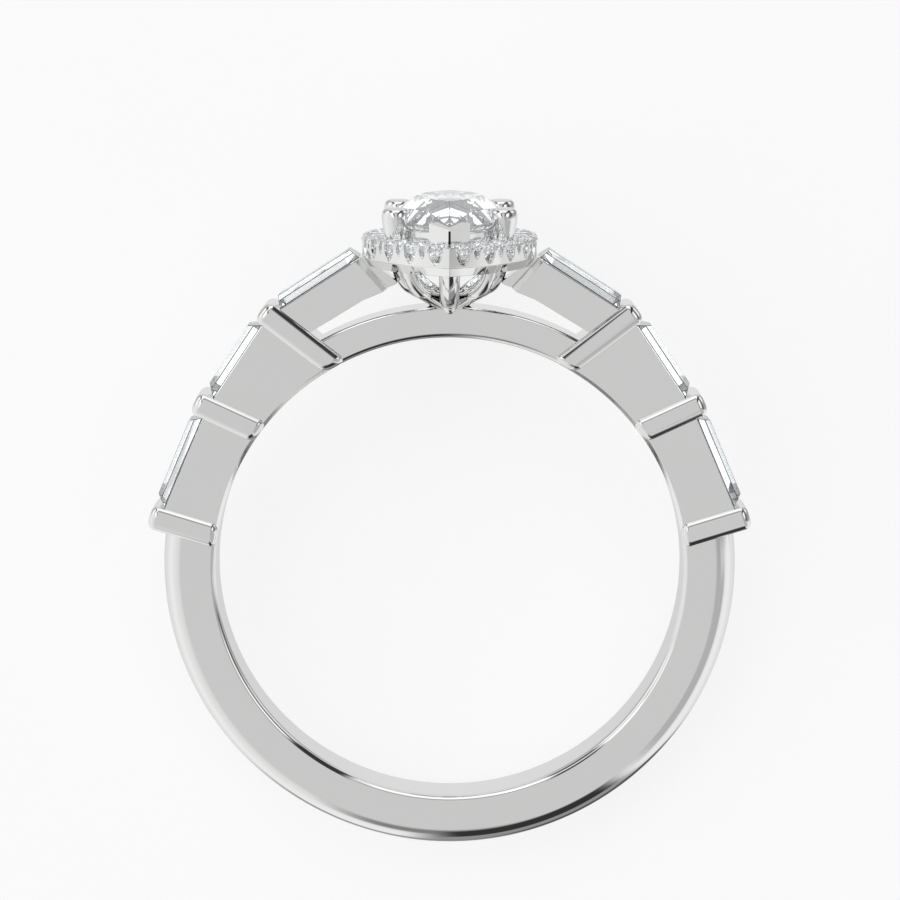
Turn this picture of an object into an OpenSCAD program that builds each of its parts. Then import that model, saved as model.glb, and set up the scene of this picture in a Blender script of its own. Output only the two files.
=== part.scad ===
// Halo diamond ring: a polished white metal band with three bar-set baguettes
// on each shoulder, and a raised marquise stone in six prongs above a marquise
// halo of small round stones. All lengths are in millimetres.
//
// The pieces are drawn upright: X to the right, Y along the finger, away from
// the viewer, Z up to the centre stone, with the middle of the finger hole at
// the origin. The last step lays the ring down on its back.

/* [Band] */
// Inside diameter of the ring
finger_d = 16.5; // [15:0.1:19]
// Width of the band along the finger
band_w = 1.9; // [1.6:0.05:2.4]
// Thickness of the band
band_t = 1.9; // [1.6:0.05:2.2]
// Chamfer on the two inner edges of the band
edge_chamfer = 0.15; // [0.05:0.01:0.25]
// Thickness of the bridge that carries the head
bridge_t = 1.08; // [0.9:0.02:1.3]

/* [Shoulders] */
// Thickness of each cross bar
bar_t = 0.7; // [0.6:0.02:0.8]
// How far a bar stands out past each side of the band
bar_proud = 0.17; // [0.05:0.01:0.3]
// Rounding of the outer end of a bar
bar_round = 0.27; // [0.15:0.01:0.3]
// Width of a baguette stone
baguette_w = 1.6; // [1.4:0.05:1.65]
// Height of a baguette above the top of its wall
baguette_crown = 0.43; // [0.3:0.01:0.5]
// Depth of a baguette below the top of its wall
baguette_depth = 0.62; // [0.4:0.01:0.7]

/* [Halo] */
// Half of the length of the halo along the finger
halo_half_l = 5.2; // [5:0.05:5.4]
// Half of the width of the halo across the finger
halo_half_w = 3.05; // [2.95:0.05:3.15]
// Diameter of a small halo stone
halo_stone_d = 0.88; // [0.8:0.01:0.9]
// Distance of the stones' middles from the outer edge of the halo
halo_inset = 0.54; // [0.52:0.01:0.6]
// Height of the bottom of the halo above the middle of the finger hole
halo_floor_z = 10.78; // [10.7:0.01:10.85]
// Height of the halo wall, with its bevel
halo_h = 1.01; // [0.95:0.01:1.1]
// Height of the bevel round the bottom of the halo
halo_bevel = 0.3; // [0.2:0.01:0.4]

/* [Centre stone] */
// Length of the marquise stone
marquise_l = 8; // [7.6:0.1:8.2]
// Width of the marquise stone
marquise_w = 4; // [3.8:0.1:4.2]
// Height of the stone's girdle above the middle of the finger hole
girdle_z = 12.3; // [12.2:0.02:12.4]
// Height of the crown over the girdle
crown_h = 0.8; // [0.6:0.02:0.9]
// Depth of the pavilion under the girdle
pavilion_h = 1.68; // [1.4:0.02:1.8]

/* [Basket] */
// Diameter of the four round prongs
prong_d = 0.98; // [0.8:0.02:1]
// Height of the prong tops above the middle of the finger hole
prong_top_z = 12.87; // [12.75:0.01:13]
// Diameter of the wires under the prongs
wire_d = 0.5; // [0.4:0.02:0.56]
// Half of the width of each pointed end prong
v_prong_half_w = 0.69; // [0.5:0.01:0.75]

/* [Fit] */
// Clearance between a stone and the metal round it
seat_gap = 0.025; // [0.02:0.005:0.04]

/* [Hidden] */
$fn = 96;
// Overlap that joins two soldered forms, and the reach of a cutting form
joint = 0.05;
reach = 4;

finger_r = finger_d / 2;
band_half_w = band_w / 2;
bar_half_w = band_half_w + bar_proud;
band_r = finger_r + band_t;
bridge_r = finger_r + bridge_t;
// The outer face of the band is round, and its circle has this radius
band_crown_r = band_half_w + 0.05;
// Corner between the flat side of the band and its round outer face
band_corner_r = band_r - band_crown_r + sqrt(pow(band_crown_r, 2) - pow(band_half_w, 2));

// Cross bars of the left shoulder, from the lowest to the highest
BAR_SLOPE = 0;   // fall of the bar towards the finger, in degrees
BAR_OFFSET = 1;  // distance of its middle line from the middle of the ring
BAR_REACH = 2;   // distance of its outer end, measured along the bar
bars = [
    [17.2, -1.28, 10.66],
    [25, 1.65, 10.62],
    [37.5, 3.31, 10.81]
];
// Where the inner end of a bar lies along it, before the finger hole is cut
bar_inner = 7.2;
// Baguettes of the left shoulder: the line where each meets the top of its wall
STONE_START = 0; // lower end of the line, as X and Z
STONE_SLOPE = 1; // rise of the line, in degrees
STONE_FROM = 2;  // where the stone starts along the line
STONE_LEN = 3;   // length of the stone
STONE_TAPER = 4; // how much shorter the table is than the stone
baguettes = [
    [[-9.98, 2.27], 66.9, -0.03, 3.42, 0.56],
    [[-8.2, 6.17], 56.2, -0.06, 3.06, 0.62],
    [[-5.91, 9.23], 32.9, 0.03, 3.28, 0.3]
];
// The upper wall ends here, under the halo, at a slanted end face
wall_end_top = [-3.12, 11.04];
wall_end_low = [-2.07, 9.99];
// Points of the underside of the upper wall, above the open gap over the bridge
wall_under = [[-4.9, 8.42], [-4, 8.97], [-3, 9.58]];

// A marquise outline is the overlap of two discs. marquise_r gives the radius
// of the discs and marquise_c the distance of their middles from the long axis.
function marquise_r(half_l, half_w) = (pow(half_l, 2) + pow(half_w, 2)) / (2 * half_w);
function marquise_c(half_l, half_w) = marquise_r(half_l, half_w) - half_w;

halo_r = marquise_r(halo_half_l, halo_half_w);
halo_c = marquise_c(halo_half_l, halo_half_w);
halo_stone_r = halo_stone_d / 2;
halo_line_r = halo_r - halo_inset;
halo_inner_r = halo_line_r - halo_stone_r - 0.09;
halo_top_z = halo_floor_z + halo_h;
halo_wall_z = halo_floor_z + halo_bevel;
bevel_in = 0.2;
halo_girdle_z = halo_top_z - 0.12;
halo_crown = 0.15;
halo_pavilion = 0.4;
// Stones on each curved side; those at the points lean away from each other
halo_per_side = 11;
tip_stone_x = halo_stone_r + 0.05;
tip_angle = acos((tip_stone_x + halo_c) / halo_line_r);
function halo_angle(i) = -tip_angle + 2 * tip_angle * i / (halo_per_side - 1);
// The shields cut in the wall reach a little nearer to the points
tip_shield_angle = 55.5;
function shield_angle(i) = -tip_shield_angle + 2 * tip_shield_angle * i / (halo_per_side - 1);

stone_r = marquise_r(marquise_l / 2, marquise_w / 2);
stone_c = marquise_c(marquise_l / 2, marquise_w / 2);
girdle_t = 0.06;
table_z = girdle_z + girdle_t + crown_h;
culet_z = girdle_z - pavilion_h;
table_half_w = 0.585 * marquise_w / 2;
table_half_l = 0.6 * marquise_l / 2;

prong_r = prong_d / 2;
prong_x = 1.83;
prong_y = 2.05;
prong_foot_z = halo_top_z + 0.1;
wire_r = wire_d / 2;
// A ball at the end of a wire is a little thicker than the wire. The straight
// foot of a bent wire is a little thinner, and starts inside the bend.
ball = 1.03;
foot_part = 0.93;
foot_back = 0.15;

// Laid on its back, the ring rests on the far tip of the halo and the far
// edge of the band, which tips it by this angle.
rest_tilt = atan((halo_half_l - band_half_w) / (halo_wall_z + band_corner_r));
lay = rest_tilt - 90;
function laid(p) = [p[0], p[1] * cos(lay) - p[2] * sin(lay), p[1] * sin(lay) + p[2] * cos(lay)];
rest_z = laid([0, band_half_w, -band_corner_r])[2];
head_end_y = laid([0, table_half_l, table_z])[1];
foot_end_y = laid([0, 0, band_crown_r - band_r])[1] - band_crown_r;

HALO_NAMES = [for (i = [1 : 2 * halo_per_side]) str("halo_stone_", i < 10 ? "0" : "", i)];
SIDE_NAMES = [for (s = ["left", "right"], i = [1 : 3]) str("baguette_", s, "_", i)];

// Places upright geometry as the ring lies, centred on the origin
module placed() {
    translate([0, -(head_end_y + foot_end_y) / 2, -rest_z])
        rotate([lay, 0, 0])
            children();
}

// Turns an outline in X and Z into a slab of the given width along the finger
module slab(width) {
    translate([0, width / 2, 0])
        rotate([90, 0, 0])
            linear_extrude(height = width)
                children();
}

// Turns an outline in radius and height into a form round the finger
module round_finger(from, sweep) {
    rotate([90, 0, 0])
        rotate([0, 0, from])
            rotate_extrude(angle = sweep)
                children();
}

module both_sides() {
    children();
    mirror([1, 0, 0])
        children();
}

module four_quarters() {
    both_sides() {
        children();
        mirror([0, 1, 0])
            children();
    }
}

// Overlap of two turned forms, each given by an outline of radius and height.
// The discs' middles are middle_x from the long axis.
module marquise_turned(outline, middle_x) {
    intersection() {
        translate([middle_x, 0, 0])
            rotate_extrude()
                polygon(outline);
        translate([-middle_x, 0, 0])
            rotate_extrude()
                polygon(outline);
    }
}

function straight(r, z0, z1) = [[0, z0], [r, z0], [r, z1], [0, z1]];

// The finger hole, with its edges broken at the given half width
module finger_hole(half_w) {
    round_finger(0, 360)
        polygon([
            [0, -reach], [finger_r + edge_chamfer + reach - half_w, -reach],
            [finger_r + edge_chamfer, -half_w], [finger_r, edge_chamfer - half_w],
            [finger_r, half_w - edge_chamfer], [finger_r + edge_chamfer, half_w],
            [finger_r + edge_chamfer + reach - half_w, reach], [0, reach]
        ]);
}

module band_section() {
    intersection() {
        translate([finger_r - 1, -band_half_w])
            square([band_t + 2, band_w]);
        union() {
            translate([band_r - band_crown_r, 0])
                circle(r = band_crown_r);
            translate([finger_r - 1, -band_half_w])
                square([band_t - band_crown_r + 1, band_w]);
        }
    }
}

// The band runs under the finger from one lowest bar to the other
module shank() {
    start = 170.8;
    round_finger(start, 540 - 2 * start)
        band_section();
}

module bridge() {
    start = 59.5;
    round_finger(start, 180 - 2 * start)
        polygon([
            [finger_r - 1, -band_half_w], [bridge_r - edge_chamfer, -band_half_w],
            [bridge_r, edge_chamfer - band_half_w], [bridge_r, band_half_w - edge_chamfer],
            [bridge_r - edge_chamfer, band_half_w], [finger_r - 1, band_half_w]
        ]);
}

// A point on a baguette's line, at t along it and h above it
function on_line(b, t, h = 0) = [
    b[STONE_START][0] + t * cos(b[STONE_SLOPE]) - h * sin(b[STONE_SLOPE]),
    b[STONE_START][1] + t * sin(b[STONE_SLOPE]) + h * cos(b[STONE_SLOPE])
];

// A point on the middle line of a bar, at a distance out along the bar
function on_bar(b, out) = [
    b[BAR_OFFSET] * sin(b[BAR_SLOPE]) - out * cos(b[BAR_SLOPE]),
    b[BAR_OFFSET] * cos(b[BAR_SLOPE]) + out * sin(b[BAR_SLOPE])
];

// Walls under the three baguettes of the left shoulder. The two lower ones
// run from bar to bar, and down to the finger hole.
module shoulder_walls() {
    into_bar = 0.3;
    slab(band_w)
        for (i = [0, 1]) {
            b = baguettes[i];
            from = b[STONE_FROM] - into_bar;
            to = b[STONE_FROM] + b[STONE_LEN] + into_bar;
            polygon([on_line(b, from), on_line(b, to), on_bar(bars[i + 1], bar_inner), on_bar(bars[i], bar_inner)]);
        }
    top = baguettes[2];
    slab(band_w)
        polygon(concat(
            [on_line(top, -into_bar), wall_end_top, wall_end_low],
            [for (i = [len(wall_under) - 1 : -1 : 0]) wall_under[i]],
            [on_line(top, -into_bar, -1.5)]
        ));
}

// Solder seat that joins the top of the upper wall to the side of the halo
module halo_seat() {
    slab(1.2)
        polygon([
            [-3.5, 10.7], wall_end_top, [-2.75, halo_floor_z + 0.25],
            [-2.75, halo_floor_z], [-2.95, 10.6]
        ]);
}

// Trough for a baguette, cut into the top of its wall
module baguette_seat(b) {
    half = baguette_w / 2 + seat_gap;
    floor_half = half * 0.45;
    below = baguette_depth + seat_gap;
    s = on_line(b, b[STONE_FROM] - seat_gap);
    translate([s[0], 0, s[1]])
        rotate([0, -b[STONE_SLOPE], 0])
            rotate([90, 0, 90])
                linear_extrude(height = b[STONE_LEN] + 2 * seat_gap)
                    polygon([
                        [-floor_half, -below], [floor_half, -below], [half, -0.12],
                        [half, reach / 4], [-half, reach / 4], [-half, -0.12]
                    ]);
}

// Corner points of a rounded corner, turning left about the given middle
function corner(mid, r, from, steps = 5) = [
    for (i = [0 : steps]) let (a = from + 90 * i / steps) mid + r * [cos(a), sin(a)]
];

// Outline of a bar with its rounded outer end at x = 0 and its length on +X
function bar_outline(len, half, r) = concat(
    [[len, -half], [len, half]],
    corner([r, half - r], r, 90),
    corner([r, r - half], r, 180)
);

// A bar is a slab that is rounded in both directions at its outer end
module bar(b) {
    run = b[BAR_REACH] - bar_inner;
    rotate([0, b[BAR_SLOPE], 0])
        translate([-b[BAR_REACH], 0, b[BAR_OFFSET]])
            intersection() {
                slab(2 * bar_half_w)
                    polygon(bar_outline(run, bar_t / 2, bar_round));
                translate([0, 0, -bar_t])
                    linear_extrude(height = 2 * bar_t)
                        polygon(bar_outline(run, bar_half_w, bar_round));
            }
}

module halo_tray() {
    difference() {
        marquise_turned([
            [0, halo_floor_z], [halo_r - bevel_in, halo_floor_z],
            [halo_r, halo_wall_z], [halo_r, halo_top_z], [0, halo_top_z]
        ], halo_c);
        marquise_turned(straight(halo_inner_r, halo_floor_z - 1, halo_top_z + 1), halo_c);
    }
}

// Goes to the middle of halo stone i on the right-hand side, X pointing out
module at_halo(angle, radius) {
    translate([-halo_c, 0, 0])
        rotate([0, 0, angle])
            translate([radius, 0, 0])
                children();
}

// Pointed shield outline, its tip at the origin and its shoulders up +Y
module shield(half_w, height) {
    curve_r = (pow(half_w, 2) + pow(height, 2)) / (2 * half_w);
    intersection() {
        translate([half_w - curve_r, height])
            circle(r = curve_r);
        translate([curve_r - half_w, height])
            circle(r = curve_r);
        translate([-half_w, -height])
            square([2 * half_w, 3 * height]);
    }
}

// A shield-shaped cut, driven level through the wall along +X
module shield_cut(half_w, height, tip_z, depth) {
    translate([0, 0, tip_z])
        rotate([90, 0, 90])
            linear_extrude(height = depth)
                shield(half_w, height);
}

// Seat for a small stone, open at the top
module halo_pocket() {
    r = halo_stone_r + seat_gap;
    below = halo_pavilion + seat_gap;
    translate([0, 0, halo_girdle_z])
        rotate_extrude()
            polygon([[0, -below], [0.05, -below], [r, 0], [r, 1], [0, 1]]);
}

// A point on a circle about the middle of the right side's arc
function on_arc(angle, radius) = [radius * cos(angle) - halo_c, radius * sin(angle), 0];

// Cuts for one side of the halo: pockets, shields below the stones, and a
// small shield and a lowered web between each two stones. A shield is cut
// from the stone i, which may be halfway between two, out through the wall.
module halo_shield(i, half_w, height, tip_z, start) {
    stone = on_arc(halo_angle(i), halo_line_r);
    out = on_arc(shield_angle(i), halo_r) - stone;
    translate(stone)
        rotate([0, 0, atan2(out[1], out[0])])
            translate([start, 0, 0])
                shield_cut(half_w, height, tip_z, 1.2);
}

module halo_cuts() {
    for (i = [0 : halo_per_side - 1]) {
        at_halo(halo_angle(i), halo_line_r)
            halo_pocket();
        halo_shield(i, 0.29, 0.5, halo_wall_z + 0.07, 0.2);
    }
    for (i = [0.5 : halo_per_side - 1.5]) {
        halo_shield(i, 0.13, 0.3, halo_top_z - 0.42, halo_inset - 0.16);
        at_halo(halo_angle(i), halo_line_r)
            translate([-0.16, -0.3, halo_top_z - 0.12])
                cube([0.32, 0.6, 1]);
    }
}

// Beads on the tops of the prongs that hold the small stones: two outside
// and one inside between each two stones
module halo_beads() {
    bead_r = 0.12;
    bead_z = halo_top_z - 0.02;
    out = 0.7;
    for (i = [0.5 : halo_per_side - 1.5]) {
        at_halo((1 - out) * halo_angle(i) + out * shield_angle(i), halo_line_r + out * halo_inset)
            for (side = [-0.19, 0.19])
                translate([0, side, bead_z])
                    sphere(r = bead_r, $fn = 24);
        at_halo(halo_angle(i), halo_line_r - 0.36)
            translate([0, 0, bead_z])
                sphere(r = bead_r, $fn = 24);
    }
}

module halo() {
    difference() {
        union() {
            halo_tray();
            both_sides()
                halo_beads();
        }
        both_sides()
            halo_cuts();
    }
}

// Space round the centre stone that the metal stays out of
module marquise_space() {
    r = stone_r + seat_gap;
    marquise_turned([
        [0, culet_z - 0.1], [stone_c + 0.05, culet_z - 0.1], [r, girdle_z - seat_gap],
        [r, girdle_z + girdle_t + seat_gap], [r - crown_h, table_z + joint], [0, table_z + joint]
    ], stone_c);
}

// A straight round wire from a to b, with a ball at b. It starts the given
// distance back from a, inside what it is joined to.
module wire(a, b, r, back = 0) {
    d = b - a;
    l = norm(d);
    translate(a - back * d / l)
        rotate([0, acos(d[2] / l), atan2(d[1], d[0])])
            cylinder(h = l + back, r = r, $fn = 32);
    translate(b)
        sphere(r = r * ball, $fn = 32);
}

// A wire that leaves point a straight down and turns through an angle of
// sweep towards the direction toward, seen from above
module bent_wire(a, r, bend_r, toward, sweep) {
    translate(a)
        rotate([0, 0, toward])
            translate([bend_r, 0, 0])
                rotate([-90, 0, 0])
                    rotate([0, 0, 180 - sweep])
                        rotate_extrude(angle = sweep, $fn = 64)
                            translate([bend_r, 0])
                                circle(r = r, $fn = 32);
}

// Where a bent wire that leaves point a ends
function bend_end(a, bend_r, toward, sweep) =
    a + bend_r * [(1 - cos(sweep)) * cos(toward), (1 - cos(sweep)) * sin(toward), -sin(sweep)];

// A barrel-shaped prong with a rounded top, its neck inside the halo and its wire
module round_prong() {
    neck = [1.4, 1.7, 11.6];
    bend_at = [1.4, 1.7, 10.85];
    bend_r = 1.25;
    toward = 212.6;
    sweep = 70;
    translate([prong_x, prong_y, prong_top_z])
        rotate_extrude()
            polygon([
                [0, prong_foot_z - prong_top_z], [prong_r - 0.11, prong_foot_z - prong_top_z],
                [prong_r - 0.02, -0.5], [prong_r, -0.25], [prong_r - 0.04, -0.12],
                [prong_r - 0.12, -0.03], [0, 0]
            ]);
    wire([1.68, 1.93, 12.2], neck, 0.27);
    wire(neck, bend_at, wire_r);
    bent_wire(bend_at, wire_r, bend_r, toward, sweep);
    wire(bend_end(bend_at, bend_r, toward, sweep), [0.12, 0.5, 9.35], wire_r * foot_part, foot_back);
}

// A prong for one point of the marquise: two plates that meet in a sharp fold,
// leaning in below the girdle to pass inside the halo
module point_prong() {
    plate = 0.37;
    lean_z = 12.14;
    low_z = 11.74;
    fold_top_z = 12.31;
    top_slope = 17.7;
    r = stone_r + 0.25;
    r_low = r - lean_z + low_z;
    fold_y = sqrt(pow(r, 2) - pow(stone_c, 2));
    difference() {
        marquise_turned([
            [0, low_z], [r_low, low_z], [r, lean_z], [r, table_z], [0, table_z]
        ], stone_c);
        marquise_turned([
            [0, low_z - 1], [r_low - plate, low_z - 1], [r_low - plate, low_z],
            [r - plate, lean_z], [r - plate, table_z + 1], [0, table_z + 1]
        ], stone_c);
        for (side = [-1, 1])
            translate([side > 0 ? v_prong_half_w : -v_prong_half_w - reach, -reach * 2, low_z - 1])
                cube([reach, reach * 4, reach]);
        translate([-reach, -2 * reach, low_z - 1])
            cube([2 * reach, 2 * reach + 3, reach]);
        translate([0, fold_y, fold_top_z])
            rotate([-top_slope, 0, 0])
                translate([-reach, -reach, 0])
                    cube([2 * reach, 2 * reach, reach]);
    }
}

// The leg under a point prong: a stout round wire, bent in to the bridge, with
// a drop of solder where it ends over the edge of the bridge
module point_leg() {
    outer_r = 2.95;
    leg_r = 0.36;
    mid = [0, 0.7, 12.2];
    sweep = 78;
    translate(mid)
        rotate([0, 90, 0])
            rotate_extrude(angle = sweep)
                translate([outer_r - leg_r, 0])
                    circle(r = leg_r, $fn = 48);
    translate(mid + (outer_r - leg_r) * [0, cos(sweep), -sin(sweep)])
        sphere(r = leg_r * ball, $fn = 48);
    translate([0, band_half_w - 0.1, bridge_r - 0.02])
        sphere(r = 0.24, $fn = 32);
}

// A wire from the side of the halo down to the bridge
module side_wire() {
    start = [1.83, 0, 10.95];
    bend_at = [1.83, 0, 10.75];
    bend_r = 1.2;
    sweep = 72;
    r = wire_r * 0.9;
    wire(start, bend_at, r);
    bent_wire(bend_at, r, bend_r, 180, sweep);
    wire(bend_end(bend_at, bend_r, 180, sweep), [0.3, 0, 9.4], r * foot_part, foot_back);
}

// Rail that joins the prongs just under the girdle
module gallery_rail() {
    marquise_turned(straight(stone_r - 0.02, 11.86, 12.19), stone_c);
}

// Where the wires and legs meet on top of the bridge
module basket_foot() {
    translate([0, 0, finger_r + bridge_t / 2])
        cylinder(h = 9.45 - finger_r - bridge_t / 2, r = 0.55, $fn = 48);
}

module basket() {
    difference() {
        union() {
            gallery_rail();
            four_quarters()
                round_prong();
            both_sides()
                side_wire();
            for (turn = [0, 180])
                rotate([0, 0, turn]) {
                    point_prong();
                    point_leg();
                }
            basket_foot();
        }
        marquise_space();
        finger_hole(band_half_w);
    }
}

module shoulders() {
    difference() {
        both_sides() {
            shoulder_walls();
            halo_seat();
        }
        finger_hole(band_half_w);
        both_sides()
            for (b = baguettes)
                baguette_seat(b);
        marquise_turned(straight(halo_inner_r + 0.1, halo_floor_z - 0.1, halo_top_z + 1), halo_c);
    }
    difference() {
        both_sides()
            for (b = bars)
                bar(b);
        finger_hole(bar_half_w);
    }
}

// All the metal is soldered into one solid
module ring_mounting() {
    color("silver")
        placed() {
            difference() {
                union() {
                    shank();
                    bridge();
                }
                finger_hole(band_half_w);
            }
            shoulders();
            halo();
            basket();
        }
}

// Step-cut baguette: a table, two steps of crown, a girdle and two steps of
// pavilion, as rings of four corners
module baguette(b) {
    half_w = baguette_w / 2;
    half_l = b[STONE_LEN] / 2;
    table_l = half_l - b[STONE_TAPER] / 2;
    rings = [
        [-baguette_depth, half_l * 0.75, half_w * 0.16],
        [-baguette_depth * 0.55, half_l * 0.9, half_w * 0.62],
        [-0.03, half_l, half_w],
        [0.04, half_l, half_w],
        [baguette_crown * 0.62, (half_l + table_l * 1.4) / 2.4, half_w * 0.84],
        [baguette_crown, table_l, half_w * 0.58]
    ];
    mid = on_line(b, b[STONE_FROM] + half_l);
    translate([mid[0], 0, mid[1]])
        rotate([0, -b[STONE_SLOPE], 0])
            ring_stack([
                for (k = rings) [[-k[1], -k[2], k[0]], [k[1], -k[2], k[0]], [k[1], k[2], k[0]], [-k[1], k[2], k[0]]]
            ]);
}

// Closed solid through rings of points that run anticlockwise, from low to high
module ring_stack(rings) {
    n = len(rings[0]);
    last = len(rings) - 1;
    polyhedron(
        [for (r = rings, p = r) p],
        concat(
            [[for (i = [0 : n - 1]) i]],
            [for (k = [0 : last - 1], i = [0 : n - 1])
                [k * n + i, (k + 1) * n + i, (k + 1) * n + (i + 1) % n, k * n + (i + 1) % n]],
            [[for (i = [n - 1 : -1 : 0]) last * n + i]]
        )
    );
}

// Closed solid from rings that are half a step apart, so that each band
// between two rings is cut in triangles, with a flat table and a pointed base
module brilliant(base, rings) {
    n = len(rings[0]);
    last = len(rings) - 1;
    polyhedron(
        concat([base], [for (r = rings, p = r) p]),
        concat(
            [for (i = [0 : n - 1]) [0, 1 + i, 1 + (i + 1) % n]],
            [for (k = [0 : last - 1], i = [0 : n - 1], side = [0, 1])
                let (
                    a = 1 + k * n + i,
                    b = 1 + k * n + (i + 1) % n,
                    c = 1 + (k + 1) * n + i,
                    d = 1 + (k + 1) * n + (i + 1) % n
                )
                side == 0 ? [a, c, b] : [b, c, d]],
            [[for (i = [n - 1 : -1 : 0]) 1 + last * n + i]]
        )
    );
}

// Point on the marquise outline at height z. turn goes from 0 to 360 round
// the outline, and small and long give its half width and half length.
function marquise_point(turn, small, long, z) =
    let (
        r = marquise_r(long, small),
        c = r - small,
        span = asin(long / r),
        right = turn < 90 || turn > 270,
        t = right ? (turn > 270 ? turn - 360 : turn) : turn - 180,
        a = span * t / 90
    )
    right ? [r * cos(a) - c, r * sin(a), z] : [c - r * cos(a), -r * sin(a), z];

function marquise_ring(n, small, long, z, step = 0) =
    [for (i = [0 : n - 1]) marquise_point((360 * (i + step) / n + 270) % 360, small, long, z)];

// The centre stone, cut as a marquise brilliant
module center_stone() {
    n = 16;
    w = marquise_w / 2;
    l = marquise_l / 2;
    mid_z = girdle_z + girdle_t + crown_h * 0.52;
    color("white")
        placed()
            brilliant([0, 0, culet_z], [
                marquise_ring(n, w, l, girdle_z),
                marquise_ring(n, w, l, girdle_z + girdle_t),
                marquise_ring(n, (w + table_half_w) / 2, (l + table_half_l) / 2, mid_z, 0.5),
                marquise_ring(n, table_half_w, table_half_l, table_z)
            ]);
}

function circle_ring(n, r, z, step = 0) = [for (i = [0 : n - 1]) let (a = 360 * (i + step) / n) [r * cos(a), r * sin(a), z]];

// One small round stone of the halo, with its table up
module halo_stone() {
    n = 8;
    r = halo_stone_r;
    brilliant([0, 0, halo_girdle_z - halo_pavilion], [
        circle_ring(n, r, halo_girdle_z),
        circle_ring(n, r, halo_girdle_z + 0.03),
        circle_ring(n, r * 0.8, halo_girdle_z + 0.03 + halo_crown * 0.6, 0.5),
        circle_ring(n, r * 0.57, halo_girdle_z + 0.03 + halo_crown)
    ]);
}

// Halo stone i of 22: 1 to 11 run up the right side, 12 to 22 the left
module halo_stone_placed(i) {
    left = i > halo_per_side;
    color("white")
        placed()
            mirror([left ? 1 : 0, 0, 0])
                at_halo(halo_angle((left ? i - halo_per_side : i) - 1), halo_line_r)
                    halo_stone();
}

// Side stone 1 to 3 of one shoulder, counted from the band to the halo
module side_stone(left, i) {
    color("white")
        placed()
            mirror([left ? 0 : 1, 0, 0])
                baguette(baguettes[i - 1]);
}

ring_mounting();
center_stone();
for (s = [0, 1], i = [1 : 3])
    side_stone(s == 0, i);
for (i = [1 : 2 * halo_per_side])
    halo_stone_placed(i);
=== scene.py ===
# Halo diamond ring, lying on its side: looks, light and camera. The sections
# follow the order in which the ring is put together. Sizes are in millimetres
# and angles in degrees, unless a comment says otherwise. The ring is drawn
# upright, with the finger hole's middle at the origin: X to the right, Y along
# the finger away from the viewer, Z up to the centre stone.
import bmesh
import bpy
from math import acos, cos, pi, radians, sin, sqrt, tan
from mathutils import Matrix, Vector


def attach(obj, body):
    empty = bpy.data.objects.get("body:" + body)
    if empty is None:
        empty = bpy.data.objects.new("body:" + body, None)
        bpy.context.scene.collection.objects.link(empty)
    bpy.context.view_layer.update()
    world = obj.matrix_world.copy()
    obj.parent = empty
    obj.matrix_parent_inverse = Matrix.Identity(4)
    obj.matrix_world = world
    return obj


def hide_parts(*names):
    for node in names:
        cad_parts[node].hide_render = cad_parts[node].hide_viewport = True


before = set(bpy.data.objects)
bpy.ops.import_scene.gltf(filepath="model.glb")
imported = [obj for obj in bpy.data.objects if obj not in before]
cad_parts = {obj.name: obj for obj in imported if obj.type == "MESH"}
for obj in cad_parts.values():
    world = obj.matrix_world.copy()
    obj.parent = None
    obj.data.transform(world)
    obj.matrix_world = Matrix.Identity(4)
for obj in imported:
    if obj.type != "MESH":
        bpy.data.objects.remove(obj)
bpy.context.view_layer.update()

# Band: a D-shaped strip of white gold, cast and polished, open at the top.
# Flat sides and a round outer face, with its edges broken by the polishing.
FINGER_R = 8.25
BAND_HALF_W = 0.95
BAND_R = 10.15
SIDE_R = 9.44
EDGE_R = 0.21
BAND_FROM, BAND_TO = 170.8, 369.2
BAND_STEPS, EDGE_STEPS, SIDE_STEPS, CROWN_STEPS = 220, 8, 8, 16
# Colour of white gold, how much darker its clouds are, and its buffing marks
GOLD_TONE = (0.895, 0.895, 0.89)
GOLD_CLOUD = 0.97
MARK_STRENGTH, MARK_DEPTH = 0.004, 0.000002
# The ring lies on the far tip of its halo and the far edge of its band. Laying
# it down also turns its millimetres into metres.
LAY = radians(-78.310954)
LAID_AT = Vector((0, -1.70654, 2.847351))
LAY_DOWN = Matrix.Scale(0.001, 4) @ Matrix.Translation(LAID_AT) @ Matrix.Rotation(LAY, 4, "X")


def angles(start, end, steps):
    """Evenly spaced angles from start to end, turned into radians."""
    return [radians(start + (end - start) * k / steps) for k in range(steps + 1)]


def put_in_scene(name, data):
    """An object in the scene with the given mesh, lamp or camera."""
    piece = bpy.data.objects.new(name, data)
    bpy.context.scene.collection.objects.link(piece)
    return piece


def face_outwards(bm, mesh):
    """Turns the faces outwards, shades them smooth and writes them to the mesh."""
    bmesh.ops.recalc_face_normals(bm, faces=bm.faces)
    for f in bm.faces:
        f.smooth = True
    bm.to_mesh(mesh)
    bm.free()


def shape(name, points, faces):
    """An object from points and faces, its doubles merged and its faces turned outwards."""
    mesh = bpy.data.meshes.new(name)
    mesh.from_pydata([tuple(p) for p in points], [], faces)
    bm = bmesh.new()
    bm.from_mesh(mesh)
    bmesh.ops.remove_doubles(bm, verts=bm.verts, dist=1e-5)
    face_outwards(bm, mesh)
    return put_in_scene(name, mesh)


def loft(name, rings, closed=False):
    """A tube through rings of points, capped at its ends unless it is closed on itself."""
    n = len(rings[0])
    points = [p for ring in rings for p in ring]
    faces = []
    for k in range(len(rings) if closed else len(rings) - 1):
        a, b = k * n, ((k + 1) % len(rings)) * n
        faces += [(a + i, a + (i + 1) % n, b + (i + 1) % n, b + i) for i in range(n)]
    if not closed:
        faces += [tuple(range(n)), tuple(range(len(points) - n, len(points)))]
    return shape(name, points, faces)


def round_finger(name, section, start, end, steps):
    """A section of radius and width, swept round the finger."""
    return loft(name, [[(r * cos(a), y, r * sin(a)) for r, y in section] for a in angles(start, end, steps)])


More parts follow.
